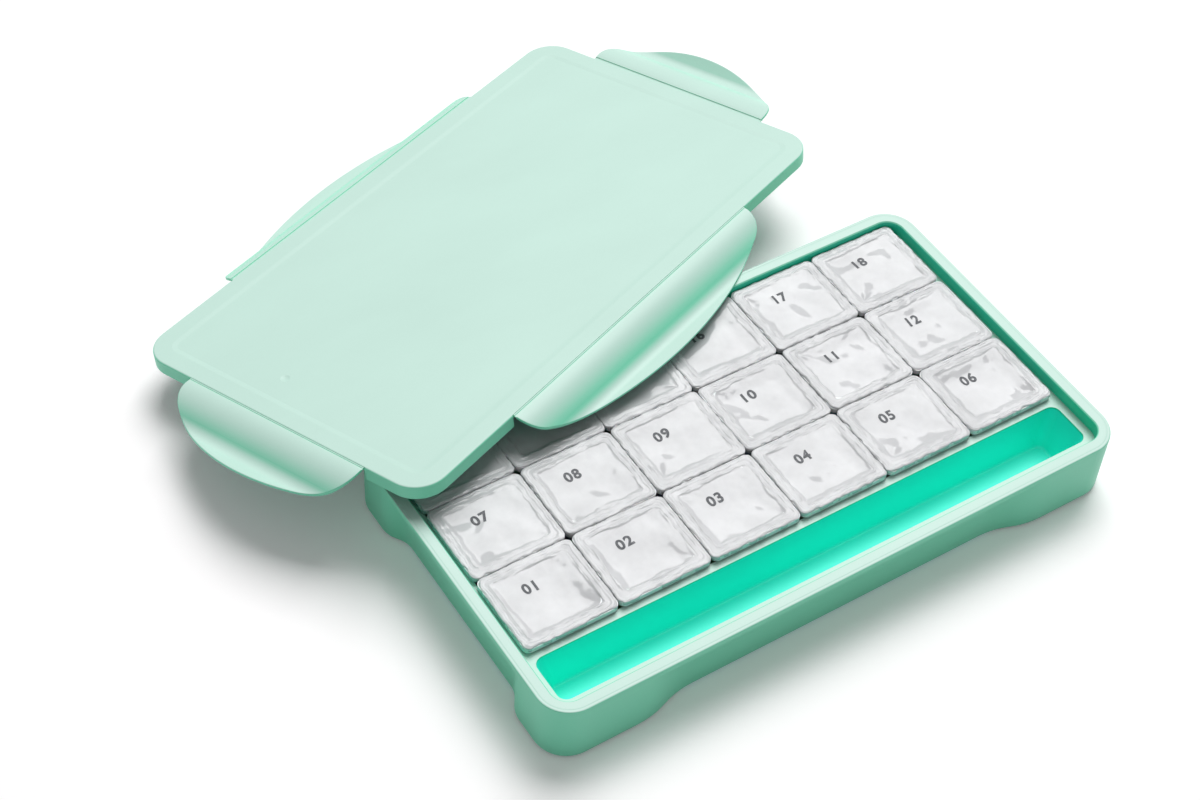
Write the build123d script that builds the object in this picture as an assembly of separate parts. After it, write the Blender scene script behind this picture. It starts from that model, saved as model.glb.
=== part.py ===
from build123d import *
import math
import os

# Gouache paint set box: a shallow case with a brush trough and a well of sealed paint
# cups, and its loose lid, which lies across the case's back-left corner with its back
# flap on the table. Millimetres. The origin is the centre of the case's underside, +X
# runs along the case, +Y to its back and +Z up.

# ---------------------------------------------------------------- case
CASE_LENGTH = 290.0
CASE_WIDTH = 165.0
CASE_HEIGHT = 32.0
CASE_CORNER_RADIUS = 15.0
CASE_FOOT_RADIUS = 2.0          # rounded lower edge
CASE_WALL = 3.0                 # outer wall beside the cored corners
FLOOR_THICKNESS = 2.0
RIM_WIDTH = 6.0
RIM_EDGE_RADIUS = 0.6
RIM_BEVEL = 0.5                 # inner edge of the rim
POCKET_DEPTH = 6.5              # rim top down to the ledge
POCKET_CORNER_RADIUS = 8.0

# ledge around the trough and the well
END_LEDGE = 4.1
FRONT_LEDGE = 5.0
BACK_LEDGE = 3.5
BAY_WALL = 2.0                  # wall between a bay and the cored corners
BAY_CORNER_RADIUS = 4.5

# brush trough
TROUGH_WIDTH = 23.0
TROUGH_FLOOR_HEIGHT = 5.0
TROUGH_SIDE_DRAFT = 8.0         # degrees
TROUGH_END_DRAFT = 16.0         # degrees
TROUGH_FLOOR_RADIUS = 1.5
PARTITION_WIDTH = 4.0           # between trough and well, at the ledge
WELL_FLOOR_RADIUS = 1.0

# finger scoops under the rim, where the lid's flaps hook in
RIM_LIP = 2.5                   # rim top down to the scoops
SCOOP_DEPTH = 5.6
SCOOP_BACKING = 6.5             # solid left behind a scoop
SCOOP_BACKING_MARGIN = 8.0      # and beyond its ends
SIDE_SCOOP_MARGIN = 70.0        # full depth starts this far from the case's ends
END_SCOOP_MARGIN = 42.25        # and this far from its front and back
SIDE_SCOOP_FADE = 30.0          # run-out at each end
END_SCOOP_FADE = 16.0

# ---------------------------------------------------------------- lid
LID_INSET = 0.4                 # lid edge inside the case's outline
LID_PLATE = 2.0
LID_DEPTH = 6.5                 # plate top to skirt edge
LID_SKIRT_WALL = 1.6
LID_EDGE_RADIUS = 0.8
LID_BORDER = 8.5                # frame round the sunk panel
LID_PANEL_DEPTH = 0.25
LID_PANEL_FALL = 2.4            # width of the gentle slope round the panel
GATE_RADIUS = 2.2               # round dimple of the moulding gate
GATE_DEPTH = 0.3
GATE_INSET = 23.0               # from the lid's left edge
GATE_OFFSET = 15.4              # behind the lid's centre line

# where the loose lid lies: the middle of its front edge over the case, its back edge
# above the table, and how it is turned
LID_FRONT_X = -4.6
LID_FRONT_OVERLAP = 3.2         # front edge inside the case's back
LID_FRONT_RISE = 12.75          # front edge above the rim
LID_BACK_RISE = 19.05           # back edge above the table
LID_YAW = 20.13                 # degrees
LID_PITCH = 1.44

# flaps
FLAP_REACH = 27.6
FLAP_END_REACH = 10.0           # where the long arc would meet the flap's ends
FLAP_CORNER_RADIUS = 13.0
FLAP_THICKNESS = 1.2
FLAP_EDGE_RADIUS = 0.35
FLAP_BEYOND_SCOOP = 10.0        # past the scoop's full depth, at each end
FLAP_END_GAP = 0.5              # between a flap and the skirt beside it
FLAP_KNEE = 9.3                 # where the root's and the fall's tangents meet
FLAP_VALLEY = 18.0              # where the fall's and the lip's tangents meet
FLAP_DROP = 8.4                 # that meeting point below the hinge
FLAP_LIP_ANGLE = 18.0           # degrees, upwards to the free edge
FLAP_KNEE_RADIUS = 18.0
FLAP_VALLEY_RADIUS = 7.0
FLAP_STEEPEST = 0.3             # height of the normal where a flap's upper face is steepest
HINGE_DROP = 0.75               # hinge line below the plate's top
HINGE_BEAD_RADIUS = 0.5
HINGE_CLEARANCE = 0.05
HINGE_WEB_THICKNESS = 0.5
HINGE_WEB_LENGTH = 1.4
HINGE_SETBACK = 0.3             # plate edge inside the hinge line

# how far each flap is folded down from the plate, in degrees
RIGHT_FLAP_ANGLE = -14.0
BACK_FLAP_ANGLE = 18.0
LEFT_FLAP_ANGLE = 0.5
FRONT_FLAP_ANGLE = 15.5

# ---------------------------------------------------------------- cups
CUP_COLUMNS = 6
CUP_ROWS = 3
CUP_GAP = 0.6                   # between neighbouring flanges
CUP_END_CLEARANCE = 3.1         # end flanges to the pocket wall
CUP_BACK_CLEARANCE = 0.5        # back row to the pocket wall
CUP_FRONT_REST = 1.0            # front row's flanges over the partition
CUP_RECESS = 3.0                # seal top below the rim top
FLANGE_OVERHANG = 3.6
FLANGE_CORNER_RADIUS = 3.0
FLANGE_THICKNESS = 1.0
FLANGE_LIP_DEPTH = 2.4
FLANGE_LIP_THICKNESS = 0.8
CUP_WALL = 0.9
CUP_TAPER = 2.0                 # each side, mouth to base
CUP_BODY_CORNER_RADIUS = 6.0
CUP_BASE_RADIUS = 1.6
SEAL_THICKNESS = 0.3
SEAL_BORDER = 5.4               # raised edge of the seal
SEAL_PANEL_DEPTH = 0.8
SEAL_PANEL_CORNER_RADIUS = 3.0
PAINT_HEADSPACE = 2.6           # cup mouth down to the paint

# ---------------------------------------------------------------- derived places
LEDGE_HEIGHT = CASE_HEIGHT - POCKET_DEPTH
BAY_LENGTH = CASE_LENGTH - 2 * (RIM_WIDTH + END_LEDGE)
TROUGH_FRONT = -CASE_WIDTH / 2 + RIM_WIDTH + FRONT_LEDGE
TROUGH_Y = TROUGH_FRONT + TROUGH_WIDTH / 2
TROUGH_DEPTH = LEDGE_HEIGHT - TROUGH_FLOOR_HEIGHT
TROUGH_END_INSET = TROUGH_DEPTH * math.tan(math.radians(TROUGH_END_DRAFT))
TROUGH_SIDE_INSET = TROUGH_DEPTH * math.tan(math.radians(TROUGH_SIDE_DRAFT))
WELL_FRONT = TROUGH_FRONT + TROUGH_WIDTH + PARTITION_WIDTH
WELL_BACK = CASE_WIDTH / 2 - RIM_WIDTH - BACK_LEDGE
WELL_WIDTH = WELL_BACK - WELL_FRONT
WELL_Y = (WELL_BACK + WELL_FRONT) / 2

SIDE_SCOOP_FLAT = CASE_LENGTH - 2 * SIDE_SCOOP_MARGIN
END_SCOOP_FLAT = CASE_WIDTH - 2 * END_SCOOP_MARGIN

LID_LENGTH = CASE_LENGTH - 2 * LID_INSET
LID_WIDTH = CASE_WIDTH - 2 * LID_INSET
LID_CORNER_RADIUS = CASE_CORNER_RADIUS - LID_INSET
LID_FRONT_HEIGHT = CASE_HEIGHT + LID_FRONT_RISE
LID_SLOPE = (LID_FRONT_HEIGHT - LID_BACK_RISE) / (LID_WIDTH * math.cos(math.radians(LID_PITCH)))
LID_ROLL = -math.degrees(math.asin(LID_SLOPE))
LID_PLACE = (
    Pos(LID_FRONT_X, CASE_WIDTH / 2 - LID_FRONT_OVERLAP, LID_FRONT_HEIGHT)
    * Rot(0, 0, LID_YAW)
    * Rot(0, LID_PITCH, 0)
    * Rot(LID_ROLL, 0, 0)
    * Pos(0, LID_WIDTH / 2, 0)
)

SIDE_FLAP_WIDTH = SIDE_SCOOP_FLAT + 2 * FLAP_BEYOND_SCOOP
END_FLAP_WIDTH = END_SCOOP_FLAT + 2 * FLAP_BEYOND_SCOOP
# each flap: the side of the lid that it hangs from, in degrees about the lid's normal
# from +X, and its fold
FLAP_ANGLES = {
    "right_flap": (0, RIGHT_FLAP_ANGLE),
    "back_flap": (90, BACK_FLAP_ANGLE),
    "left_flap": (180, LEFT_FLAP_ANGLE),
    "front_flap": (270, FRONT_FLAP_ANGLE),
}

CUPS_LENGTH = CASE_LENGTH - 2 * (RIM_WIDTH + CUP_END_CLEARANCE)
CUPS_BACK = CASE_WIDTH / 2 - RIM_WIDTH - CUP_BACK_CLEARANCE
CUPS_WIDTH = CUPS_BACK - WELL_FRONT + CUP_FRONT_REST
CUP_PITCH_X = (CUPS_LENGTH + CUP_GAP) / CUP_COLUMNS
CUP_PITCH_Y = (CUPS_WIDTH + CUP_GAP) / CUP_ROWS
FLANGE_LENGTH = CUP_PITCH_X - CUP_GAP
FLANGE_WIDTH = CUP_PITCH_Y - CUP_GAP
CUP_MOUTH_HEIGHT = CASE_HEIGHT - CUP_RECESS - SEAL_THICKNESS
CUP_BODY_LENGTH = FLANGE_LENGTH - 2 * FLANGE_OVERHANG
CUP_BODY_WIDTH = FLANGE_WIDTH - 2 * FLANGE_OVERHANG
BACK_ROW_Y = CUPS_BACK - FLANGE_WIDTH / 2


def rounded_block(length, width, radius, bottom, top, y=0.0):
    """An upright block with rounded corners, centred on X and on y."""
    outline = Plane.XY.offset(bottom) * Pos(0, y) * RectangleRounded(length, width, radius)
    return extrude(outline, top - bottom)


def drafted_block(length, width, radius, inset, bottom, top):
    """A rounded block that narrows evenly towards its bottom, by inset on every side."""
    lower = Plane.XY.offset(bottom) * RectangleRounded(
        length - 2 * inset, width - 2 * inset, radius - inset
    )
    flare = math.degrees(math.atan2(inset, top - bottom))
    return extrude(lower, top - bottom, taper=-flare)


def lowest_edges(solid):
    return solid.faces().sort_by(Axis.Z)[0].edges()


# ---------------------------------------------------------------- case base
def waisted_outline(length, width, radius, depth, side_flat, end_flat, side_fade, end_fade):
    """A rounded rectangle whose four sides each dip inwards by depth in a smooth scoop."""
    sides = [
        (0, width / 2, length / 2 - radius, side_flat / 2, side_fade),
        (90, length / 2, width / 2 - radius, end_flat / 2, end_fade),
    ]
    edges = []
    for turn, reach, straight, flat, fade in sides:
        for half_turn in (0, 180):
            place = Rot(0, 0, turn + half_turn)
            tail = flat + fade
            bend = (flat + fade / 2, depth / 2 - reach)
            other_bend = (-bend[0], bend[1])
            side = [
                Line((straight, -reach), (tail, -reach)),
                TangentArc((tail, -reach), bend, tangent=(-1, 0)),
                TangentArc((flat, depth - reach), bend, tangent=(1, 0)),
                Line((flat, depth - reach), (-flat, depth - reach)),
                TangentArc((-flat, depth - reach), other_bend, tangent=(-1, 0)),
                TangentArc((-tail, -reach), other_bend, tangent=(1, 0)),
                Line((-tail, -reach), (-straight, -reach)),
                CenterArc((-straight, radius - reach), radius, 180, 90),
            ]
            edges += [place * edge for edge in side]
    return make_face(edges)


def underside_core():
    """The four corner pockets moulded up into the underside, and the one below the trough."""
    top = LEDGE_HEIGHT - BAY_WALL
    ring = extrude(
        waisted_outline(
            CASE_LENGTH - 2 * CASE_WALL,
            CASE_WIDTH - 2 * CASE_WALL,
            CASE_CORNER_RADIUS - CASE_WALL,
            SCOOP_DEPTH + SCOOP_BACKING - CASE_WALL,
            SIDE_SCOOP_FLAT + 2 * SCOOP_BACKING_MARGIN,
            END_SCOOP_FLAT + 2 * SCOOP_BACKING_MARGIN,
            SIDE_SCOOP_FADE,
            END_SCOOP_FADE,
        ),
        top,
    )
    bays_width = WELL_BACK - TROUGH_FRONT + 2 * BAY_WALL
    bays = rounded_block(
        BAY_LENGTH + 2 * BAY_WALL,
        bays_width,
        BAY_CORNER_RADIUS + BAY_WALL,
        0,
        top,
        (WELL_BACK + TROUGH_FRONT) / 2,
    )
    below_trough = rounded_block(
        BAY_LENGTH - 2 * TROUGH_END_INSET,
        TROUGH_WIDTH - 2 * TROUGH_SIDE_INSET,
        BAY_CORNER_RADIUS,
        0,
        TROUGH_FLOOR_HEIGHT - FLOOR_THICKNESS,
        TROUGH_Y,
    )
    return (ring - bays) + below_trough


def trapezium(mouth, inset):
    """The trough's section: its mouth at the ledge, narrowing by inset at each wall."""
    return make_face(
        Polyline(
            (-mouth / 2, LEDGE_HEIGHT),
            (mouth / 2, LEDGE_HEIGHT),
            (mouth / 2 - inset, TROUGH_FLOOR_HEIGHT),
            (inset - mouth / 2, TROUGH_FLOOR_HEIGHT),
            close=True,
        )
    )


def trough():
    lengthwise = Plane.XZ * trapezium(BAY_LENGTH, TROUGH_END_INSET)
    crosswise = Plane.YZ * trapezium(TROUGH_WIDTH, TROUGH_SIDE_INSET)
    block = extrude(lengthwise, TROUGH_WIDTH, both=True) & extrude(crosswise, BAY_LENGTH, both=True)
    # The corner edges lie between the floor's four edges and the mouth's four.
    block = fillet(block.edges().sort_by(Axis.Z)[4:8], BAY_CORNER_RADIUS)
    return Pos(0, TROUGH_Y, 0) * fillet(lowest_edges(block), TROUGH_FLOOR_RADIUS)


def base_box():
    waist = extrude(
        waisted_outline(
            CASE_LENGTH,
            CASE_WIDTH,
            CASE_CORNER_RADIUS,
            SCOOP_DEPTH,
            SIDE_SCOOP_FLAT,
            END_SCOOP_FLAT,
            SIDE_SCOOP_FADE,
            END_SCOOP_FADE,
        ),
        CASE_HEIGHT - RIM_LIP,
    )
    waist = fillet(lowest_edges(waist), CASE_FOOT_RADIUS)
    lip = rounded_block(
        CASE_LENGTH, CASE_WIDTH, CASE_CORNER_RADIUS, CASE_HEIGHT - RIM_LIP, CASE_HEIGHT
    )
    lip = fillet(lip.faces().sort_by(Axis.Z)[-1].edges(), RIM_EDGE_RADIUS)

    pocket_length = CASE_LENGTH - 2 * RIM_WIDTH
    pocket_width = CASE_WIDTH - 2 * RIM_WIDTH
    pocket = rounded_block(
        pocket_length, pocket_width, POCKET_CORNER_RADIUS, LEDGE_HEIGHT, CASE_HEIGHT
    )
    bevel = drafted_block(
        pocket_length + 2 * RIM_BEVEL,
        pocket_width + 2 * RIM_BEVEL,
        POCKET_CORNER_RADIUS + RIM_BEVEL,
        RIM_BEVEL,
        CASE_HEIGHT - RIM_BEVEL,
        CASE_HEIGHT,
    )
    well = rounded_block(
        BAY_LENGTH, WELL_WIDTH, BAY_CORNER_RADIUS, FLOOR_THICKNESS, LEDGE_HEIGHT, WELL_Y
    )
    well = fillet(lowest_edges(well), WELL_FLOOR_RADIUS)
    return (waist + lip) - pocket - bevel - trough() - well - underside_core()


# ---------------------------------------------------------------- lid
def lid_side(turn):
    """Where a side's hinge line is, in the lid's own frame, for an outward turn in degrees."""
    reach = LID_LENGTH / 2 if turn % 180 == 0 else LID_WIDTH / 2
    return Rot(0, 0, turn) * Pos(reach, 0, -HINGE_DROP)


def flap_width(turn):
    return END_FLAP_WIDTH if turn % 180 == 0 else SIDE_FLAP_WIDTH


def flap_window(width):
    """What a flap's hinge takes out of the lid: the skirt and a strip of the plate's edge."""
    window = width + 2 * FLAP_END_GAP
    skirt_gap = Pos(-LID_SKIRT_WALL, 0, HINGE_DROP - LID_PLATE) * Box(
        2 * LID_SKIRT_WALL + LID_EDGE_RADIUS,
        window,
        LID_DEPTH,
        align=(Align.MIN, Align.CENTER, Align.MAX),
    )
    edge_strip = Pos(-HINGE_SETBACK, 0, HINGE_DROP) * Box(
        LID_SKIRT_WALL, window, LID_DEPTH, align=(Align.MIN, Align.CENTER, Align.MAX)
    )
    seat = Rot(90, 0, 0) * Cylinder(HINGE_BEAD_RADIUS + HINGE_CLEARANCE, window)
    return skirt_gap + edge_strip + seat


def lid_plate():
    shell = rounded_block(LID_LENGTH, LID_WIDTH, LID_CORNER_RADIUS, -LID_DEPTH, 0)
    shell = fillet(shell.faces().sort_by(Axis.Z)[-1].edges(), LID_EDGE_RADIUS)
    shell -= rounded_block(
        LID_LENGTH - 2 * LID_SKIRT_WALL,
        LID_WIDTH - 2 * LID_SKIRT_WALL,
        LID_CORNER_RADIUS - LID_SKIRT_WALL,
        -LID_DEPTH,
        -LID_PLATE,
    )
    shell -= drafted_block(
        LID_LENGTH - 2 * LID_BORDER,
        LID_WIDTH - 2 * LID_BORDER,
        LID_CORNER_RADIUS - LID_BORDER,
        LID_PANEL_FALL,
        -LID_PANEL_DEPTH,
        0,
    )
    ball_radius = (GATE_RADIUS**2 + GATE_DEPTH**2) / (2 * GATE_DEPTH)
    ball_height = ball_radius - GATE_DEPTH - LID_PANEL_DEPTH
    gate = Pos(GATE_INSET - LID_LENGTH / 2, GATE_OFFSET, ball_height)
    shell -= gate * Sphere(ball_radius)
    for turn, _ in FLAP_ANGLES.values():
        shell -= lid_side(turn) * flap_window(flap_width(turn))
    return LID_PLACE * shell


def flap_outline(width):
    """Half-moon plan: one long arc between two ends, with rounded corners."""
    half = width / 2
    rise = FLAP_REACH - FLAP_END_REACH
    arc_radius = (half**2 + rise**2) / (2 * rise)
    disc = Pos(FLAP_REACH - arc_radius, 0) * Circle(arc_radius)
    strip = Rectangle(FLAP_REACH, width, align=(Align.MIN, Align.CENTER))
    outline = disc & strip
    return fillet(outline.vertices().sort_by(Axis.X)[-2:], FLAP_CORNER_RADIUS)


def free_edges(blade):
    """The edges all round a flap's upper face, except along its root."""
    upper = blade.faces().filter_by(lambda face: face.normal_at().Z > FLAP_STEEPEST)
    upright = blade.faces().filter_by(lambda face: abs(face.normal_at().Z) < FLAP_STEEPEST)
    sides = upright.sort_by(Axis.X)[1:]
    return [edge for edge in upper.edges() if edge in sides.edges()]


def flap(turn, fold):
    """One flap about its hinge line, folded down from the plate by fold degrees."""
    width = flap_width(turn)
    section_end = FLAP_REACH + FLAP_THICKNESS
    lip_rise = (section_end - FLAP_VALLEY) * math.tan(math.radians(FLAP_LIP_ANGLE))
    section = FilletPolyline(
        (HINGE_WEB_LENGTH, 0),
        (FLAP_KNEE, 0),
        (FLAP_VALLEY, -FLAP_DROP),
        (section_end, lip_rise - FLAP_DROP),
        radius=[FLAP_KNEE_RADIUS, FLAP_VALLEY_RADIUS],
    )
    curved_sheet = extrude(Plane.XZ * trace(section, FLAP_THICKNESS), width / 2, both=True)
    blade = curved_sheet & extrude(flap_outline(width), FLAP_REACH, both=True)
    blade = fillet(free_edges(blade), FLAP_EDGE_RADIUS)
    web = Box(
        HINGE_WEB_LENGTH, width, HINGE_WEB_THICKNESS, align=(Align.MIN, Align.CENTER, Align.CENTER)
    )
    bead = Rot(90, 0, 0) * Cylinder(HINGE_BEAD_RADIUS, width)
    return LID_PLACE * lid_side(turn) * Rot(0, fold, 0) * (blade + web + bead)


# ---------------------------------------------------------------- cups
def cup_body(inset, base, top):
    """The cup's tapered body, shrunk by inset on every side, from base up to top."""
    return drafted_block(
        CUP_BODY_LENGTH - 2 * inset,
        CUP_BODY_WIDTH - 2 * inset,
        CUP_BODY_CORNER_RADIUS - inset,
        CUP_TAPER,
        base,
        top,
    )


def cup_cavity():
    cavity = cup_body(CUP_WALL, FLOOR_THICKNESS + CUP_WALL, CUP_MOUTH_HEIGHT)
    return fillet(lowest_edges(cavity), CUP_BASE_RADIUS - CUP_WALL)


def cup():
    body = cup_body(0, FLOOR_THICKNESS, CUP_MOUTH_HEIGHT)
    body = fillet(lowest_edges(body), CUP_BASE_RADIUS)
    flange = rounded_block(
        FLANGE_LENGTH,
        FLANGE_WIDTH,
        FLANGE_CORNER_RADIUS,
        CUP_MOUTH_HEIGHT - FLANGE_LIP_DEPTH,
        CUP_MOUTH_HEIGHT,
    )
    flange -= rounded_block(
        FLANGE_LENGTH - 2 * FLANGE_LIP_THICKNESS,
        FLANGE_WIDTH - 2 * FLANGE_LIP_THICKNESS,
        FLANGE_CORNER_RADIUS - FLANGE_LIP_THICKNESS,
        CUP_MOUTH_HEIGHT - FLANGE_LIP_DEPTH,
        CUP_MOUTH_HEIGHT - FLANGE_THICKNESS,
    )
    return (flange + body) - cup_cavity()


def seal():
    """Film with a raised border on the flange and a panel sunk into the cup's mouth."""
    panel_length = FLANGE_LENGTH - 2 * SEAL_BORDER
    panel_width = FLANGE_WIDTH - 2 * SEAL_BORDER
    top = CUP_MOUTH_HEIGHT + SEAL_THICKNESS
    film = rounded_block(
        FLANGE_LENGTH, FLANGE_WIDTH, FLANGE_CORNER_RADIUS, CUP_MOUTH_HEIGHT, top
    )
    film += rounded_block(
        panel_length,
        panel_width,
        SEAL_PANEL_CORNER_RADIUS,
        CUP_MOUTH_HEIGHT - SEAL_PANEL_DEPTH,
        CUP_MOUTH_HEIGHT,
    )
    return film - rounded_block(
        panel_length - 2 * SEAL_THICKNESS,
        panel_width - 2 * SEAL_THICKNESS,
        SEAL_PANEL_CORNER_RADIUS - SEAL_THICKNESS,
        top - SEAL_PANEL_DEPTH,
        top,
    )


def paint():
    level = CUP_MOUTH_HEIGHT - PAINT_HEADSPACE
    fill = rounded_block(
        CUP_BODY_LENGTH, CUP_BODY_WIDTH, CUP_BODY_CORNER_RADIUS, FLOOR_THICKNESS, level
    )
    return cup_cavity() & fill


def cup_places():
    """Cup centres, counted along the front row first, then row by row to the back."""
    for row in range(CUP_ROWS):
        for column in range(CUP_COLUMNS):
            x = (column - (CUP_COLUMNS - 1) / 2) * CUP_PITCH_X
            yield x, BACK_ROW_Y - (CUP_ROWS - 1 - row) * CUP_PITCH_Y


# ---------------------------------------------------------------- all nodes
nodes = {"base_box": base_box(), "lid_plate": lid_plate()}
for name, (turn, fold) in FLAP_ANGLES.items():
    nodes[name] = flap(turn, fold)
cup_pieces = {"cup": cup(), "seal": seal(), "paint": paint()}
for number, (x, y) in enumerate(cup_places(), start=1):
    for name, piece in cup_pieces.items():
        nodes[f"{name}_{number:02d}"] = Pos(x, y, 0) * piece

os.makedirs("parts", exist_ok=True)
for name, solid in nodes.items():
    solid.label = name
    export_step(solid, f"parts/{name}.step")
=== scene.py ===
"""Looks of the gouache paint set box: mint plastic case and lid, milky cups under crinkled film.

Metres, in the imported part's frame: the case's underside is on z = 0, +X runs along the case
and +Y to its back. Sizes named in millimetres are turned into metres with MM.
"""

import math

import bmesh
import bpy
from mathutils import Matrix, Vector, noise


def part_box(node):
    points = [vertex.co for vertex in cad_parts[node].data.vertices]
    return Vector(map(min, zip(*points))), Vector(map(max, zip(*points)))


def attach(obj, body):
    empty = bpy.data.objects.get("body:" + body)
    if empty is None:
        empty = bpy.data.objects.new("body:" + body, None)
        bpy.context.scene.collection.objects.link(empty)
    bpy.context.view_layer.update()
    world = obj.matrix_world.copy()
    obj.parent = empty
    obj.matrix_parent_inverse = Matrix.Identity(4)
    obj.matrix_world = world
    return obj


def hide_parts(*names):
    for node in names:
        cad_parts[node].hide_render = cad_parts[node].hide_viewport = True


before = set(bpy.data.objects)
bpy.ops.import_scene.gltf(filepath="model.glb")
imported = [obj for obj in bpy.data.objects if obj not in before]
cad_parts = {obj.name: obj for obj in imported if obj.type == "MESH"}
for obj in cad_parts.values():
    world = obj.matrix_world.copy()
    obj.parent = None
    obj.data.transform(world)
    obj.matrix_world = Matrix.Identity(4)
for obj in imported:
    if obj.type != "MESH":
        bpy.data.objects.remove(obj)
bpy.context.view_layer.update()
MM = 0.001

# ---------------------------------------------------------------- camera, light and floor
CAMERA_PLACE = (-0.43188, -0.49193, 0.79333)
CAMERA_TURN = (41.1692, -2.903, -32.5323)       # degrees, XYZ
CAMERA_LENS = 70.272
CAMERA_SENSOR = 36.0
CAMERA_NEAR = 0.01

SCENE_MIDDLE = Vector((0.0, 0.08, 0.02))
KEY_AZIMUTH = 45.0              # degrees from +X towards +Y
KEY_ELEVATION = 58.0
KEY_DISTANCE = 5.0
KEY_SIZE = 3.2
KEY_POWER = 238.0
WORLD_LIGHT = 0.26

FLOOR_DROP = 0.2 * MM           # below the case's underside
FLOOR_HALF = 3.0
FLOOR_SEEN = (1.0, 0.98, 0.99)  # takes part of the green bounce out of the shadows
FLOOR_BOUNCE = (0.80, 0.80, 0.80)
FLOOR_LIFT = 0.10               # glow that keeps the lit floor white
FLOOR_FADE = (0.55, 0.95)       # distances at which it starts and ends to clear

# ---------------------------------------------------------------- case and lid
RIM_WIDTH = 6.0 * MM
POCKET_RADIUS = 8.0 * MM
POCKET_DEPTH = 6.5 * MM
POCKET_MARGIN = 0.2 * MM        # the painted shade and painted light inside reach this far past the pocket's wall
TROUGH_FADE = (0.2 * MM, 1.2 * MM)      # below the ledge, where the trough's painted light sets in
CASE_RADIUS = 15.0 * MM
RIM_LINE_INSET = 1.6 * MM       # fine line round the rim
RIM_LINE_HALF = 0.16 * MM
RIM_LINE_DEPTH = 0.3 * MM       # below the rim's top, where the line ends
RIM_LINE_SHARE = 0.25           # of the side colour in the line

# heights of the normal between which one colour turns into the next: painted sheen on faces that look
# up, painted shade on faces that look down and on the pocket's upright walls
PAINTED_SHEEN_FACING = (0.60, 0.98)
PAINTED_SHADE_FACING = (-0.2, -0.8)
PAINTED_SHADE_UPRIGHT = (0.9, 0.4)

PLASTIC_GRAIN = 2200.0          # scales of the noise in the plastic
PLASTIC_FLOW = 14.0
FLOW_STRETCH = (1.0, 2.5, 1.0)

# ---------------------------------------------------------------- film of the seals, mm
FLANGE_RADIUS = 3.0
FILM_THICKNESS = 0.3            # above the flange
FILM_SPLAY = 0.02               # outside the flange
FILM_SKIRT = 1.9                # down the flange's side
# rings on the flange's side, lowest first: share of the skirt's depth, and splay
SKIRT_RINGS = ((1.0, FILM_SPLAY), (0.6, FILM_SPLAY * 1.3), (0.25, FILM_SPLAY))
SKIRT_START = 0.12              # below the film's edge
SKIRT_GAP = 0.03                # outside the ragged edge
RAGGED_EDGE = 1.6               # in from the edge that its waves reach
EDGE_LIMIT = 0.22               # outside the flange, so neighbours stay apart
EDGE_ROLL = 0.14                # how far the edge rolls down
EDGE_ROLL_REACH = 0.6
CORNER_SHRINK = 0.35            # of the inset, off each further ring's corner radius
LEAST_RADIUS = 2.0

BORDER_STEPS = [0.23 * k for k in range(24)]    # insets of the rings on the border
PANEL_RINGS = 28
RING_STRAIGHT_LONG = 46         # points along each long side of a ring
RING_STRAIGHT_SHORT = 40
RING_CORNER = 9
# inset, scale and level of each ring of the underside
UNDER_RINGS = ((0.35, 1.0, 0.02), (4.6, 1.0, 0.02), (6.5, 1.0, -2.1), (6.5, 0.5, -2.1))

PANEL_START = 4.7               # in from the flange's edge
PANEL_DEPTH = 0.72              # at its middle
PANEL_TILT = 0.24               # deeper by this at the left, and again at the front
# width of the panel's near walls at each end, as the least width and its spread
LEFT_FALL = ((0.8, 1.2), (3.0, 2.0))    # at the back and at the front
FRONT_FALL = ((0.8, 1.2), (2.6, 2.2))   # at the right and at the left
CREASE = 0.7                    # width of the crease at the panel's right and back
CREASE_SHARE = 0.3              # of the fall there; the rest is a gentle slope
FAR_WALL = 7.0                  # width of that slope

FILM_TILT = 0.10                # spread of a seal's tilt
FILM_LIFT = (0.12, 0.22)        # least lift of a seal's film, and its spread
FILM_DISH = (0.5, 0.4)          # spread of the panel's doming, and the draw that leaves it flat
# height, inset and half-width of the ridges round the border
BORDER_RIDGES = ((0.12, 0.8, 0.6), (0.17, 4.1, 0.6), (0.10, 1.9, 0.4), (-0.10, 2.7, 0.6))
# folds that run into the panel from each corner
FOLD_INSET = 5.5
FOLD_HEIGHT = 0.60
FOLD_REACH = 7.0
FOLD_START = 1.2
FOLD_COUNT = (4.0, 2.0)         # how closely they follow round the corner: middle and spread

# waves: amplitude, which of the seal's noises, and scale
PANEL_EDGE_WAVES = ((0.9, 20, 0.14), (0.4, 40, 0.35))
PANEL_WAVES = ((1.0, 0, 0.075), (0.12, 10, 0.22))
BORDER_WAVES = ((0.08, 80, 1.2), (0.22, 90, 0.25))
BORDER_STRAY = ((0.75, 70, 0.2),)       # ridges stray in and out
BORDER_SWELL = ((1.1, 60, 0.35),)       # ridges swell and fade
EDGE_WAVES = ((0.95, 100, 0.3), (0.4, 110, 0.9))
SKIRT_TEAR = ((0.35, 120, 0.35),)       # share by which the skirt's lower edge varies

# ---------------------------------------------------------------- printed numbers, mm
NUMBER_SIZE = 7.0
NUMBER_WEIGHT = 0.26            # added round the strokes
NUMBER_SPACING = 1.15
NUMBER_CURVE_STEPS = 6
NUMBER_MIDDLE = (-4.0, 6.3)     # from the cup's centre
NUMBER_LIFT = 0.07              # above the film
NUMBER_CUT = 0.5                # between the cuts that let it follow the folds
NUMBER_REACH = 5.5              # that the cuts cover, each way from its middle
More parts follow.
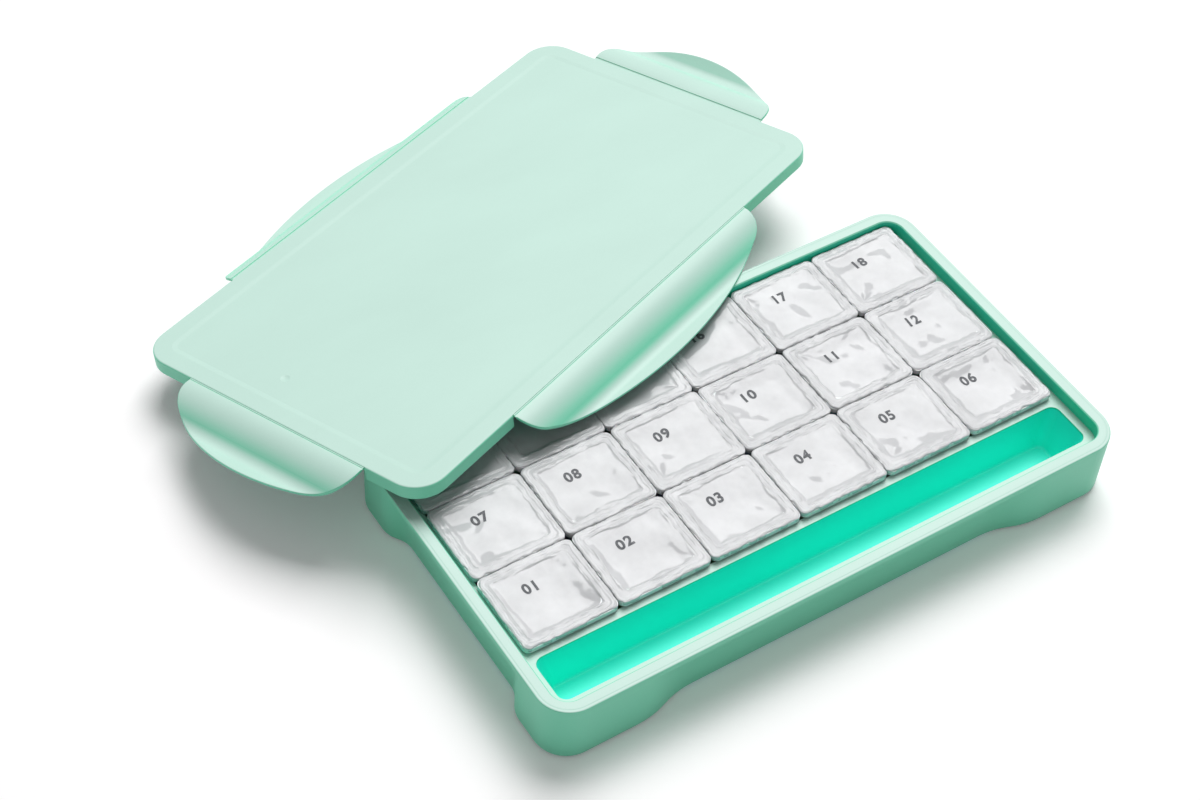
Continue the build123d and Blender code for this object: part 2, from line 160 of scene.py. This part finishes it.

# ---------------------------------------------------------------- colours, linear
# painted sheen: the top colour is paler for the light's sheen on faces that look up
MINT_TOP_PAINTED_SHEEN = (0.535, 0.755, 0.67)
MINT_SIDE = (0.24, 0.83, 0.57)
# painted shade on the pocket's upright inner walls
MINT_POCKET_PAINTED_SHADE = (0.015, 0.66, 0.42)
# painted light: the saturated green that light trapped in the trough takes
MINT_TROUGH_PAINTED_LIGHT = (0.03, 0.96, 0.80)
# painted shade: the underside's deep green stands in for the shade under the lid and flaps
MINT_UNDER_PAINTED_SHADE = (0.06, 0.44, 0.31)
FILM_WHITE = (0.62, 0.627, 0.64)
CUP_WHITE = (0.78, 0.79, 0.80)
PRINT_GREY = (0.11, 0.115, 0.125)
PRINT_WORN = (0.20, 0.205, 0.22)
PAINTS = {
    "white": (0.85, 0.84, 0.80),
    "lemon_yellow": (0.85, 0.68, 0.03),
    "deep_yellow": (0.85, 0.45, 0.01),
    "orange": (0.80, 0.18, 0.01),
    "vermilion": (0.70, 0.05, 0.02),
    "crimson": (0.40, 0.01, 0.02),
    "rose": (0.70, 0.10, 0.22),
    "violet": (0.13, 0.03, 0.30),
    "ultramarine": (0.02, 0.03, 0.40),
    "cobalt_blue": (0.01, 0.10, 0.50),
    "sky_blue": (0.10, 0.42, 0.72),
    "turquoise": (0.01, 0.38, 0.42),
    "viridian": (0.01, 0.20, 0.13),
    "leaf_green": (0.10, 0.36, 0.03),
    "yellow_ochre": (0.50, 0.25, 0.04),
    "burnt_sienna": (0.22, 0.06, 0.02),
    "umber": (0.08, 0.045, 0.025),
    "black": (0.012, 0.012, 0.014),
}


# ---------------------------------------------------------------- shader graphs
class Graph:
    """One material's node tree, with short calls to add and join its nodes."""

    def __init__(self, name, roughness, **settings):
        self.material = bpy.data.materials.new(name)
        self.material.use_nodes = True
        self.tree = self.material.node_tree
        self.tree.nodes.clear()
        self.shader = self.tree.nodes.new("ShaderNodeBsdfPrincipled")
        self.shader.inputs["Roughness"].default_value = roughness
        for socket, value in settings.items():
            self.shader.inputs[socket.replace("_", " ")].default_value = value
        output = self.tree.nodes.new("ShaderNodeOutputMaterial")
        self.tree.links.new(self.shader.outputs[0], output.inputs["Surface"])
        self.coordinates = self.tree.nodes.new("ShaderNodeTexCoord")

    def node(self, kind, inputs=(), **settings):
        made = self.tree.nodes.new("ShaderNode" + kind)
        for name, value in settings.items():
            setattr(made, name, value)
        for socket, value in dict(inputs).items():
            self.put(made.inputs[socket], value)
        return made

    def put(self, socket, value):
        if isinstance(value, bpy.types.NodeSocket):
            self.tree.links.new(value, socket)
        else:
            socket.default_value = value

    def finish(self, colour, normal):
        """The material, once its colour and its bumped normal are in the shader."""
        self.put(self.shader.inputs["Base Color"], colour)
        self.put(self.shader.inputs["Normal"], normal)
        return self.material

    def math(self, operation, first, second=0.0, third=0.0):
        made = self.node("Math", {0: first, 1: second, 2: third}, operation=operation)
        return made.outputs[0]

    def step(self, value, low, high):
        """0 at low, 1 at high, smooth between."""
        made = self.node("MapRange", {0: value, 1: low, 2: high}, interpolation_type="SMOOTHSTEP")
        return made.outputs[0]

    def blend(self, factor, first, second):
        """first where factor is 0, second where it is 1."""
        made = self.node("Mix", {0: factor}, data_type="RGBA")
        for socket, value in ((made.inputs[6], first), (made.inputs[7], second)):
            self.put(socket, (*value, 1.0) if isinstance(value, tuple) else value)
        return made.outputs[2]

    def place(self):
        """x, y and z of the point in the part's frame, at rest."""
        made = self.node("SeparateXYZ", {0: self.coordinates.outputs["Object"]})
        return made.outputs

    def upward(self):
        """How far the surface faces up at rest, -1 to 1."""
        made = self.node("SeparateXYZ", {0: self.coordinates.outputs["Normal"]})
        return made.outputs[2]

    def grain(self, scale, detail=3.0, stretch=(1.0, 1.0, 1.0)):
        points = self.node("Mapping", {0: self.coordinates.outputs["Object"], 3: stretch})
        inputs = {"Vector": points.outputs[0], "Scale": scale, "Detail": detail}
        return self.node("TexNoise", inputs).outputs[0]

    def bump(self, height, strength, distance, onto=None):
        inputs = {"Height": height, "Strength": strength, "Distance": distance}
        if onto is not None:
            inputs["Normal"] = onto
        return self.node("Bump", inputs).outputs[0]

    def tint(self, colour, value, spread):
        """colour made lighter and darker by spread, following the noise in value."""
        level = self.node("MapRange", {0: value, 1: 0.3, 2: 0.7, 3: 1 - spread, 4: 1 + spread})
        made = self.node("HueSaturation", {"Value": level.outputs[0], "Color": colour})
        return made.outputs[0]

    def rounded_distance(self, x, y, half, radius):
        """Distance outside a rounded rectangle centred on the origin; negative inside."""
        over = [
            self.math("SUBTRACT", self.math("ABSOLUTE", along), reach - radius)
            for along, reach in zip((x, y), half)
        ]
        outside = [self.math("MAXIMUM", value, 0.0) for value in over]
        squares = [self.math("MULTIPLY", value, value) for value in outside]
        corner = self.math("SQRT", self.math("ADD", *squares))
        inside = self.math("MINIMUM", self.math("MAXIMUM", *over), 0.0)
        return self.math("SUBTRACT", self.math("ADD", corner, inside), radius)


def mint_painted_shading(graph):
    """Pale where the moulding faces up (painted sheen), fuller on its sides, deepest on its underside
    (painted shade).
    """
    up = graph.upward()
    colour = graph.blend(graph.step(up, *PAINTED_SHEEN_FACING), MINT_SIDE, MINT_TOP_PAINTED_SHEEN)
    return graph.blend(graph.step(up, *PAINTED_SHADE_FACING), colour, MINT_UNDER_PAINTED_SHADE)


def finish_mint(graph, colour, groove=None):
    """Fine moulded grain and faint flow marks over the plastic."""
    grain = graph.grain(PLASTIC_GRAIN, 2.0)
    flow = graph.grain(PLASTIC_FLOW, 4.0, FLOW_STRETCH)
    colour = graph.tint(graph.tint(colour, flow, 0.018), grain, 0.012)
    normal = graph.bump(flow, 0.12, 0.4 * MM)
    normal = graph.bump(grain, 0.10, 0.03 * MM, normal)
    if groove is not None:
        normal = graph.bump(groove, 0.6, 0.12 * MM, normal)
    return graph.finish(colour, normal)


def lid_plastic():
    graph = Graph("mint_plastic", 0.42, Specular_IOR_Level=0.42)
    return finish_mint(graph, mint_painted_shading(graph))


def case_plastic():
    """The case: as the lid, but with painted shade on the pocket's walls and painted light in the
    trough, and with a fine line round its rim.
    """
    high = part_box("base_box")[1]
    half = (high.x, high.y)
    graph = Graph("case_plastic", 0.40, Specular_IOR_Level=0.42)
    x, y, z = graph.place()

    pocket_half = [reach - RIM_WIDTH for reach in half]
    pocket = graph.rounded_distance(x, y, pocket_half, POCKET_RADIUS)
    # painted shade: the pocket's upright walls take a deep green that stands in for the shade inside it
    within = graph.math("LESS_THAN", pocket, POCKET_MARGIN)
    shaded_wall = graph.step(graph.upward(), *PAINTED_SHADE_UPRIGHT)
    colour = graph.blend(graph.math("MULTIPLY", within, shaded_wall), mint_painted_shading(graph), MINT_POCKET_PAINTED_SHADE)
    # painted light: below the ledge the trough takes a saturated green that stands in for light trapped
    # in it
    ledge = high.z - POCKET_DEPTH
    below_ledge = graph.step(z, ledge - TROUGH_FADE[0], ledge - TROUGH_FADE[1])
    colour = graph.blend(graph.math("MULTIPLY", within, below_ledge), colour, MINT_TROUGH_PAINTED_LIGHT)

    edge = graph.rounded_distance(x, y, half, CASE_RADIUS)
    off_line = graph.math("ABSOLUTE", graph.math("ADD", edge, RIM_LINE_INSET))
    on_rim = graph.math("GREATER_THAN", z, high.z - RIM_LINE_DEPTH)
    line = graph.math("MULTIPLY", graph.step(off_line, RIM_LINE_HALF, 0.0), on_rim)
    colour = graph.blend(graph.math("MULTIPLY", line, RIM_LINE_SHARE), colour, MINT_SIDE)
    return finish_mint(graph, colour, graph.math("SUBTRACT", 1.0, line))


def cup_plastic(name, paint):
    """Milky thermoformed plastic; the paint behind the wall tints the body."""
    graph = Graph("cup_" + name, 0.32, Subsurface_Weight=0.15, Subsurface_Scale=0.8 * MM)
    z = graph.place()[2]
    paint_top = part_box("paint_01")[1].z
    body = graph.step(z, paint_top + 0.3 * MM, paint_top - 0.8 * MM)
    colour = graph.blend(graph.math("MULTIPLY", body, 0.5), CUP_WHITE, paint)
    colour = graph.tint(colour, graph.grain(90.0), 0.03)
    return graph.finish(colour, graph.bump(graph.grain(260.0, 2.0, (1.0, 1.0, 0.35)), 0.25, 0.2 * MM))


def gouache(name, paint):
    """Thick moist paint with a slightly uneven skin."""
    graph = Graph("gouache_" + name, 0.45, Coat_Weight=0.2, Coat_Roughness=0.2)
    colour = graph.tint((*paint, 1.0), graph.grain(60.0), 0.08)
    return graph.finish(colour, graph.bump(graph.grain(160.0, 4.0), 0.5, 0.5 * MM))


def seal_film():
    """White peel-off film: glossy, with fine crinkles between the modelled folds."""
    gloss = {"Coat_Weight": 0.62, "Coat_Roughness": 0.07, "Coat_IOR": 1.5}
    graph = Graph("seal_film", 0.5, Specular_IOR_Level=0.1, **gloss)
    crinkle = graph.node(
        "TexVoronoi",
        {"Vector": graph.coordinates.outputs["Object"], "Scale": 480.0, "Randomness": 1.0},
        feature="SMOOTH_F1",
    ).outputs[0]
    ripple = graph.grain(330.0, 3.0)
    colour = graph.tint((*FILM_WHITE, 1.0), graph.grain(55.0, 2.0), 0.06)
    normal = graph.bump(ripple, 0.30, 0.10 * MM)
    normal = graph.bump(crinkle, 0.16, 0.10 * MM, normal)
    return graph.finish(graph.tint(colour, ripple, 0.02), normal)


def print_ink():
    graph = Graph("print_ink", 0.5, Specular_IOR_Level=0.2)
    wear = graph.grain(900.0, 4.0)
    ink = graph.blend(graph.step(wear, 0.45, 0.75), PRINT_GREY, PRINT_WORN)
    return graph.finish(ink, graph.bump(wear, 0.15, 0.05 * MM))


# ---------------------------------------------------------------- crinkled seals
def rise(value, low, high):
    """0 below low, 1 above high, smooth between."""
    t = min(max((value - low) / (high - low), 0.0), 1.0)
    return t * t * (3.0 - 2.0 * t)


def ridge(value, middle, half):
    """A rounded ridge of height 1 that dies out half away from its middle."""
    return 1.0 - rise(abs(value - middle), 0.0, half)


def waves(table, x, y, seed):
    """The sum of a table's noises at a point, for one seal."""
    total = 0.0
    for amplitude, which, scale in table:
        kind = seed + which
        point = Vector((x * scale + kind * 7.3, y * scale - kind * 3.1, kind * 1.7))
        total += amplitude * noise.noise(point)
    return total


def rounded_ring(half_x, half_y, radius):
    """Points round a rounded rectangle, the same count for every size."""
    corners = [(1, 1, 0), (-1, 1, 90), (-1, -1, 180), (1, -1, 270)]
    straights = [RING_STRAIGHT_LONG, RING_STRAIGHT_SHORT] * 2

    def on_arc(corner, degrees):
        angle = math.radians(degrees)
        x = corner[0] * (half_x - radius) + radius * math.cos(angle)
        return (x, corner[1] * (half_y - radius) + radius * math.sin(angle))

    points = []
    for index, corner in enumerate(corners):
        for step in range(RING_CORNER):
            points.append(on_arc(corner, corner[2] + 90.0 * step / (RING_CORNER - 1)))
        following = corners[(index + 1) % 4]
        start, end = points[-1], on_arc(following, following[2])
        for step in range(1, straights[index]):
            t = step / straights[index]
            points.append((start[0] + (end[0] - start[0]) * t, start[1] + (end[1] - start[1]) * t))
    return points


def corner_radius(inset):
    return max(FLANGE_RADIUS - CORNER_SHRINK * inset, LEAST_RADIUS)


class Film:
    """One seal's film. x and y are mm from its middle, and z is mm above the flange's top."""

    def __init__(self, number, low, high):
        self.seed = number
        self.middle = (low + high) / 2
        self.half_x = (high.x - low.x) / 2 / MM
        self.half_y = (high.y - low.y) / 2 / MM
        self.flange_top = high.z / MM - FILM_THICKNESS
        draw = [noise.cell(Vector((number * 1.37, k * 2.11, 0.5))) for k in range(12)]
        self.tilt_x = FILM_TILT * (draw[0] - 0.5)
        self.tilt_y = FILM_TILT * (draw[1] - 0.5)
        self.lift = FILM_LIFT[0] + FILM_LIFT[1] * draw[2]
        # the panel's left and front walls widen towards the corner they share
        self.left_fall = [least + spread * draw[3 + k] for k, (least, spread) in enumerate(LEFT_FALL)]
        self.front_fall = [least + spread * draw[5 + k] for k, (least, spread) in enumerate(FRONT_FALL)]
        self.dish = FILM_DISH[0] * (draw[7] - FILM_DISH[1])
        self.folds = [draw[8 + k] * 2 - 1 for k in range(4)]

    def placed(self, x, y, z):
        """A point of the film in metres, in the part's frame."""
        return (self.middle.x + x * MM, self.middle.y + y * MM, (self.flange_top + z) * MM)

    def depth(self, x, y):
        """0 on the border, 1 on the panel's floor."""
        wave = waves(PANEL_EDGE_WAVES, x, y, self.seed)
        leftward = 0.5 - x / (2 * self.half_x)
        frontward = 0.5 - y / (2 * self.half_y)
        left = self.left_fall[0] + (self.left_fall[1] - self.left_fall[0]) * frontward
        front = self.front_fall[0] + (self.front_fall[1] - self.front_fall[0]) * leftward
        amount = 1.0
        for distance, fall in ((x + self.half_x, left), (y + self.half_y, front)):
            amount *= rise(distance + wave, PANEL_START, PANEL_START + fall)
        for distance in (self.half_x - x, self.half_y - y):
            crease = rise(distance + wave, PANEL_START, PANEL_START + CREASE)
            slope = rise(distance + wave, PANEL_START, PANEL_START + FAR_WALL)
            amount *= CREASE_SHARE * crease + (1 - CREASE_SHARE) * slope
        return amount

    def border(self, x, y, inset):
        """Ridges and crimps of the border, in from the flange's edge."""
        stray = waves(BORDER_STRAY, x, y, self.seed)
        ridges = sum(size * ridge(inset, at + stray, half) for size, at, half in BORDER_RIDGES)
        swell = 1.0 + waves(BORDER_SWELL, x, y, self.seed)
        return ridges * swell + waves(BORDER_WAVES, x, y, self.seed)

    def panel(self, x, y):
        """Waves, doming and corner folds of the panel's floor, about its level."""
        u, v = x / self.half_x, y / self.half_y
        floor = waves(PANEL_WAVES, x, y, self.seed) + self.dish * (1 - u * u) * (1 - v * v)
        for fold, (sx, sy) in zip(self.folds, ((1, 1), (-1, 1), (-1, -1), (1, -1))):
            dx, dy = x - sx * (self.half_x - FOLD_INSET), y - sy * (self.half_y - FOLD_INSET)
            reach = math.hypot(dx, dy)
            angle = math.atan2(-dy * sy, -dx * sx) - math.pi / 4
            pull = math.exp(-reach / FOLD_REACH) * (1 - math.exp(-reach / FOLD_START))
            count = FOLD_COUNT[0] + FOLD_COUNT[1] * fold
            floor += FOLD_HEIGHT * fold * math.cos(angle * count) * pull
        return floor

    def height(self, x, y, inset):
        depth = self.depth(x, y)
        u, v = x / self.half_x, y / self.half_y
        level = FILM_THICKNESS + self.lift + self.tilt_x * u + self.tilt_y * v
        sunk = PANEL_DEPTH - PANEL_TILT * (u + v)
        return level + (1 - depth) * self.border(x, y, inset) + depth * (self.panel(x, y) - sunk)

    def edge_out(self, x, y):
        """How far the ragged edge lies outside the flange."""
        return min(waves(EDGE_WAVES, x, y, self.seed), EDGE_LIMIT)

    def skirt_ring(self, share, splay):
        """A ring down the flange's side, by a share of the torn skirt's depth."""
        ring = []
        for x, y in rounded_ring(self.half_x + splay, self.half_y + splay, FLANGE_RADIUS):
            drop = FILM_SKIRT * (1 + waves(SKIRT_TEAR, x, y, self.seed)) * share
            grow = 1 + (self.edge_out(x, y) + SKIRT_GAP) / math.hypot(x, y)
            ring.append((x * grow, y * grow, self.height(x, y, 0.0) - SKIRT_START - drop))
        return ring

    def top_ring(self, inset, scale=1.0):
        """A ring on top, in from the flange's edge and then scaled towards the middle."""
        ragged = 1 - rise(inset, 0.0, RAGGED_EDGE)
        roll = EDGE_ROLL * (1 - rise(inset, 0.0, EDGE_ROLL_REACH))
        ring = []
        for x, y in rounded_ring(self.half_x - inset, self.half_y - inset, corner_radius(inset)):
            grow = scale * (1 + ragged * self.edge_out(x, y) / math.hypot(x, y))
            ring.append((x * grow, y * grow, self.height(x * grow, y * grow, inset) - roll))
        return ring

    def under_ring(self, inset, scale, level):
        ring = rounded_ring(self.half_x - inset, self.half_y - inset, corner_radius(inset))
        return [(x * scale, y * scale, level) for x, y in ring]


def band(outer, inner, count):
    """Quads between two rings of vertices, from the first vertex of each."""
    quads = []
    for k in range(count):
        following = (k + 1) % count
        quads.append((outer + k, outer + following, inner + following, inner + k))
    return quads


def fan(ring, centre, count):
    """Triangles from a ring of vertices to its centre."""
    return [(ring + k, ring + (k + 1) % count, centre) for k in range(count)]


def film_mesh(film):
    """The vertices and faces of one seal's film, closed by a plain underside."""
    last = BORDER_STEPS[-1]
    rings = [film.skirt_ring(share, splay) for share, splay in SKIRT_RINGS]
    rings += [film.top_ring(inset) for inset in BORDER_STEPS]
    rings += [film.top_ring(last, 1 - k / PANEL_RINGS) for k in range(1, PANEL_RINGS)]
    under = [film.under_ring(*ring) for ring in UNDER_RINGS]
    count = len(rings[0])

    points = [(0.0, 0.0, film.height(0.0, 0.0, last))]
    for ring in rings + under:
        points += ring
    points.append((0.0, 0.0, UNDER_RINGS[-1][2]))
    starts = [1 + k * count for k in range(len(rings) + len(under))]
    upper, lower = starts[: len(rings)], starts[len(rings):]

    faces = fan(upper[-1], 0, count)
    for outer, inner in zip(upper, upper[1:]):
        faces += band(outer, inner, count)
    for outer, inner in zip([upper[0]] + lower, lower):
        faces += band(inner, outer, count)
    faces += [face[::-1] for face in fan(lower[-1], len(points) - 1, count)]
    return [film.placed(*point) for point in points], faces


def add_mesh(name, vertices, faces, material):
    mesh = bpy.data.meshes.new(name)
    mesh.from_pydata(vertices, [], faces)
    mesh.validate()
    mesh.shade_smooth()
    mesh.materials.append(material)
    made = bpy.data.objects.new(name, mesh)
    bpy.context.scene.collection.objects.link(made)
    return made


# ---------------------------------------------------------------- printed numbers
def cut_mesh(mesh):
    """Cuts a flat mesh along an even grid, so that it can bend."""
    cutter = bmesh.new()
    cutter.from_mesh(mesh)
    cuts = round(NUMBER_REACH / NUMBER_CUT)
    for normal in ((1, 0, 0), (0, 1, 0)):
        for k in range(-cuts, cuts + 1):
            plane = [axis * k * NUMBER_CUT for axis in normal]
            geometry = cutter.verts[:] + cutter.edges[:] + cutter.faces[:]
            bmesh.ops.bisect_plane(cutter, geom=geometry, plane_co=plane, plane_no=normal)
    bmesh.ops.triangulate(cutter, faces=cutter.faces[:])
    cutter.to_mesh(mesh)
    cutter.free()


def flat_number(number):
    """The flat mesh of a two-figure number, centred on the origin, in mm."""
    text = bpy.data.curves.new("number", "FONT")
    text.body = f"{number:02d}"
    text.size = NUMBER_SIZE
    text.offset = NUMBER_WEIGHT
    text.space_character = NUMBER_SPACING
    text.align_x = "CENTER"
    text.align_y = "CENTER"
    text.resolution_u = NUMBER_CURVE_STEPS
    letters = bpy.data.objects.new("number", text)
    bpy.context.scene.collection.objects.link(letters)
    depsgraph = bpy.context.evaluated_depsgraph_get()
    mesh = bpy.data.meshes.new_from_object(letters.evaluated_get(depsgraph))
    bpy.data.objects.remove(letters)
    return mesh


def add_number(number, film, material):
    """The cup's number, laid over the film's folds."""
    mesh = flat_number(number)
    cut_mesh(mesh)
    made = bpy.data.objects.new(f"number_{number:02d}", mesh)
    bpy.context.scene.collection.objects.link(made)
    for vertex in mesh.vertices:
        x = vertex.co.x + NUMBER_MIDDLE[0]
        y = vertex.co.y + NUMBER_MIDDLE[1]
        vertex.co = film.placed(x, y, film.height(x, y, BORDER_STEPS[-1]) + NUMBER_LIFT)
    mesh.materials.clear()
    mesh.materials.append(material)
    return made


# ---------------------------------------------------------------- build
def assign(node, material):
    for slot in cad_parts[node].material_slots:
        slot.material = material


def dress_case_and_lid():
    assign("base_box", case_plastic())
    plastic = lid_plastic()
    for node in ("lid_plate", "right_flap", "back_flap", "left_flap", "front_flap"):
        assign(node, plastic)


def dress_cups():
    film_material = seal_film()
    ink = print_ink()
    for number, (name, paint) in enumerate(PAINTS.items(), start=1):
        body = f"pot_{number:02d}"
        seal = f"seal_{number:02d}"
        assign(f"cup_{number:02d}", cup_plastic(name, paint))
        assign(f"paint_{number:02d}", gouache(name, paint))
        film = Film(number, *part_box(seal))
        foil = add_mesh(f"film_{number:02d}", *film_mesh(film), film_material)
        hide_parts(seal)
        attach(foil, body)
        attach(add_number(number, film, ink), body)


def set_camera():
    camera = bpy.data.cameras.new("camera")
    camera.lens = CAMERA_LENS
    camera.sensor_width = CAMERA_SENSOR
    camera.clip_start = CAMERA_NEAR
    made = bpy.data.objects.new("camera", camera)
    made.location = CAMERA_PLACE
    made.rotation_euler = [math.radians(angle) for angle in CAMERA_TURN]
    bpy.context.scene.collection.objects.link(made)
    bpy.context.scene.camera = made


def set_light():
    azimuth, elevation = math.radians(KEY_AZIMUTH), math.radians(KEY_ELEVATION)
    along = math.cos(elevation)
    away = Vector((math.cos(azimuth) * along, math.sin(azimuth) * along, math.sin(elevation)))
    lamp = bpy.data.lights.new("key", "AREA")
    lamp.shape = "SQUARE"
    lamp.size = KEY_SIZE
    lamp.energy = KEY_POWER
    made = bpy.data.objects.new("key", lamp)
    made.location = SCENE_MIDDLE + KEY_DISTANCE * away
    made.rotation_euler = away.to_track_quat("Z", "Y").to_euler()
    bpy.context.scene.collection.objects.link(made)


def seen_ray(tree):
    """1 for camera, glossy and transmission rays, 0 for the rest."""
    path = tree.nodes.new("ShaderNodeLightPath")
    total = path.outputs["Is Camera Ray"]
    for name in ("Is Glossy Ray", "Is Transmission Ray"):
        either = tree.nodes.new("ShaderNodeMath")
        either.operation = "MAXIMUM"
        tree.links.new(total, either.inputs[0])
        tree.links.new(path.outputs[name], either.inputs[1])
        total = either.outputs[0]
    return total


def set_world():
    """White where it is seen, and a soft fill light elsewhere."""
    world = bpy.data.worlds.new("studio")
    world.use_nodes = True
    tree = world.node_tree
    background = tree.nodes["Background"]
    strength = tree.nodes.new("ShaderNodeMapRange")
    tree.links.new(seen_ray(tree), strength.inputs[0])
    strength.inputs[3].default_value = WORLD_LIGHT
    strength.inputs[4].default_value = 1.0
    tree.links.new(strength.outputs[0], background.inputs["Strength"])
    background.inputs["Color"].default_value = (1.0, 1.0, 1.0, 1.0)
    bpy.context.scene.world = world


def floor_material():
    """Seen, a white floor that keeps shadows and fades out; to other rays, a pale grey one."""
    material = bpy.data.materials.new("floor")
    material.use_nodes = True
    tree = material.node_tree
    tree.nodes.clear()
    output = tree.nodes.new("ShaderNodeOutputMaterial")

    def mixed(factor, first, second):
        made = tree.nodes.new("ShaderNodeMixShader")
        tree.links.new(factor, made.inputs[0])
        tree.links.new(first, made.inputs[1])
        tree.links.new(second, made.inputs[2])
        return made.outputs[0]

    def diffuse(colour):
        made = tree.nodes.new("ShaderNodeBsdfDiffuse")
        made.inputs["Color"].default_value = (*colour, 1.0)
        return made.outputs[0]

    glow = tree.nodes.new("ShaderNodeEmission")
    glow.inputs["Strength"].default_value = FLOOR_LIFT
    lifted = tree.nodes.new("ShaderNodeAddShader")
    tree.links.new(diffuse(FLOOR_SEEN), lifted.inputs[0])
    tree.links.new(glow.outputs[0], lifted.inputs[1])

    place = tree.nodes.new("ShaderNodeTexCoord")
    length = tree.nodes.new("ShaderNodeVectorMath")
    length.operation = "LENGTH"
    tree.links.new(place.outputs["Object"], length.inputs[0])
    fade = tree.nodes.new("ShaderNodeMapRange")
    fade.interpolation_type = "SMOOTHSTEP"
    tree.links.new(length.outputs["Value"], fade.inputs[0])
    fade.inputs[1].default_value, fade.inputs[2].default_value = FLOOR_FADE
    clear = tree.nodes.new("ShaderNodeBsdfTransparent").outputs[0]
    seen = mixed(fade.outputs[0], lifted.outputs[0], clear)
    tree.links.new(mixed(seen_ray(tree), diffuse(FLOOR_BOUNCE), seen), output.inputs["Surface"])
    return material


def set_floor():
    corners = [(-1, -1), (1, -1), (1, 1), (-1, 1)]
    vertices = [(sx * FLOOR_HALF, sy * FLOOR_HALF, 0.0) for sx, sy in corners]
    floor = add_mesh("floor", vertices, [(0, 1, 2, 3)], floor_material())
    floor.location = (SCENE_MIDDLE.x, SCENE_MIDDLE.y, -FLOOR_DROP)


dress_case_and_lid()
dress_cups()
set_camera()
set_light()
set_world()
set_floor()
bpy.context.scene.view_settings.view_transform = "Standard"
